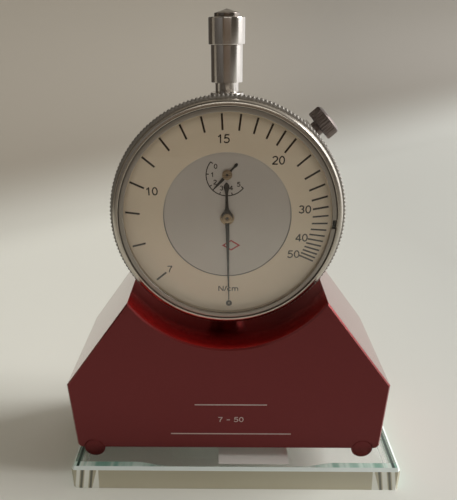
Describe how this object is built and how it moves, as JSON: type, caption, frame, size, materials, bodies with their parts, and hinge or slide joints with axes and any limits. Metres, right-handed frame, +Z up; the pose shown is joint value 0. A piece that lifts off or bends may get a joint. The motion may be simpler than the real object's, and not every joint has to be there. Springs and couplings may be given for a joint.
{
  "type": "screen tension meter",
  "caption": "Dial gauge on a scooped base with two fixed support rods and a sprung measuring bar between them, standing on its glass calibration plate.",
  "frame": {"origin": "centre of the calibration plate's underside; the spindle stands 2 mm to the left of it", "axes": "+Z up along the spindle, +X to the right of the dial, +Y to the back, away from the dial"},
  "size_m": [0.0934, 0.0506, 0.1239],
  "materials": {
    "plate_glass": "clear float glass with ground and polished edges, green at the edge",
    "label_paper": "blank white paper sticker",
    "red_enamel": "dark red anodised or enamelled aluminium, satin in front, glossy in the scoop",
    "rod_enamel": "dark red, as the base",
    "screw_steel": "zinc-plated steel",
    "cover_aluminium": "milled aluminium",
    "movement_brass": "rolled brass",
    "hub_brass": "dull turned brass",
    "spring_steel": "hard drawn spring steel",
    "satin_case": "satin chromed",
    "satin_bezel": "turned and satin chromed",
    "back_cover_steel": "satin chromed",
    "bright_chrome": "polished chrome",
    "ground_steel": "hardened and ground",
    "dark_nickel": "dark nickel plate",
    "black_hand": "matt black",
    "dial_grey": "matt grey printed disc",
    "dial_cream": "matt cream printed ring",
    "crystal_glass": "clear flat crystal",
    "seal_rubber": "black seal"
  },
  "bodies": {
    "calibration_plate": {"calibration_plate": "plate_glass", "calibration_label": "label_paper"},
    "housing": {"base_housing": "red_enamel", "support_rod_left": "rod_enamel", "support_rod_right": "rod_enamel", "rod_screws": "screw_steel", "bottom_cover": "cover_aluminium", "bottom_cover_screws": "screw_steel", "guide_bushes": "movement_brass", "stem_clamp_screw": "screw_steel", "load_springs": "spring_steel", "gauge_case": "satin_case", "lower_stem": "bright_chrome", "upper_sleeve": "bright_chrome", "top_collar": "bright_chrome", "back_cover": "back_cover_steel", "back_cover_screws": "screw_steel", "bezel_lock_plate": "spring_steel", "dial_centre_disc": "dial_grey", "movement_front_plate": "movement_brass", "movement_back_plate": "movement_brass", "movement_pillars": "movement_brass", "movement_screws": "screw_steel", "pinion_bridge": "movement_brass", "guide_block": "movement_brass", "spring_post": "screw_steel", "return_spring": "spring_steel"},
    "measuring_slide": {"measuring_bar": "ground_steel", "bar_carrier": "cover_aluminium", "bar_screws": "screw_steel", "guide_pins": "ground_steel", "coupling_stud": "screw_steel", "lock_nut": "screw_steel", "spindle": "ground_steel", "anti_rotation_pin": "ground_steel", "lifting_cap": "bright_chrome", "finial_screw": "bright_chrome"},
    "centre_arbor": {"centre_pinion": "ground_steel", "main_pointer": "black_hand", "pointer_hub": "hub_brass"},
    "rack_wheel": {"rack_pinion": "ground_steel", "rack_gear": "movement_brass"},
    "counter_wheel": {"counter_gear": "movement_brass", "counter_arbor": "ground_steel", "hairspring": "spring_steel", "counter_pointer": "black_hand", "counter_hub": "hub_brass"},
    "bezel": {"bezel_ring": "satin_bezel", "bezel_retaining_wire": "spring_steel", "crystal": "crystal_glass", "crystal_gasket": "seal_rubber", "crystal_snap_ring": "satin_bezel", "dial_scale_ring": "dial_cream"},
    "bezel_lock": {"bezel_lock_screw": "dark_nickel"}
  },
  "joints": [
    {"name": "meter_lift", "type": "slide", "parent": "calibration_plate", "child": "housing", "axis": [0, 0, 1], "range_m": [0, 0.0024]},
    {"name": "bar_slide", "type": "slide", "parent": "housing", "child": "measuring_slide", "axis": [0, 0, 1], "range_m": [-0.0024, 0], "stiffness_N_per_m": 500, "springref_m": -0.0044, "deforming": ["load_springs", "return_spring"]},
    {"name": "pointer_turn", "type": "hinge", "parent": "housing", "child": "centre_arbor", "pos_m": [-0.002, 0, 0.07625], "axis": [0, 1, 0], "range_deg": [-864, 0]},
    {"name": "rack_wheel_turn", "type": "hinge", "parent": "housing", "child": "rack_wheel", "pos_m": [-0.00489, 0, 0.0657], "axis": [0, 1, 0], "range_deg": [0, 86.4]},
    {"name": "counter_turn", "type": "hinge", "parent": "housing", "child": "counter_wheel", "pos_m": [-0.002, 0, 0.08719], "axis": [0, 1, 0], "range_deg": [0, 86.4]},
    {"name": "bezel_turn", "type": "hinge", "parent": "housing", "child": "bezel", "pos_m": [-0.002, 0, 0.07625], "axis": [0, 1, 0], "continuous": true},
    {"name": "bezel_lock_turn", "type": "hinge", "parent": "housing", "child": "bezel_lock", "pos_m": [0.0214, 0.002, 0.09659], "axis": [0.7547, 0, 0.6561], "range_deg": [0, 180]}
  ],
  "couplings": [
    {"joint": "bar_slide", "follows": "meter_lift", "ratio": -1},
    {"joint": "pointer_turn", "follows": "meter_lift", "rad_per_m": -6283.2},
    {"joint": "rack_wheel_turn", "follows": "meter_lift", "rad_per_m": 628.32},
    {"joint": "counter_turn", "follows": "meter_lift", "rad_per_m": 628.32}
  ]
}
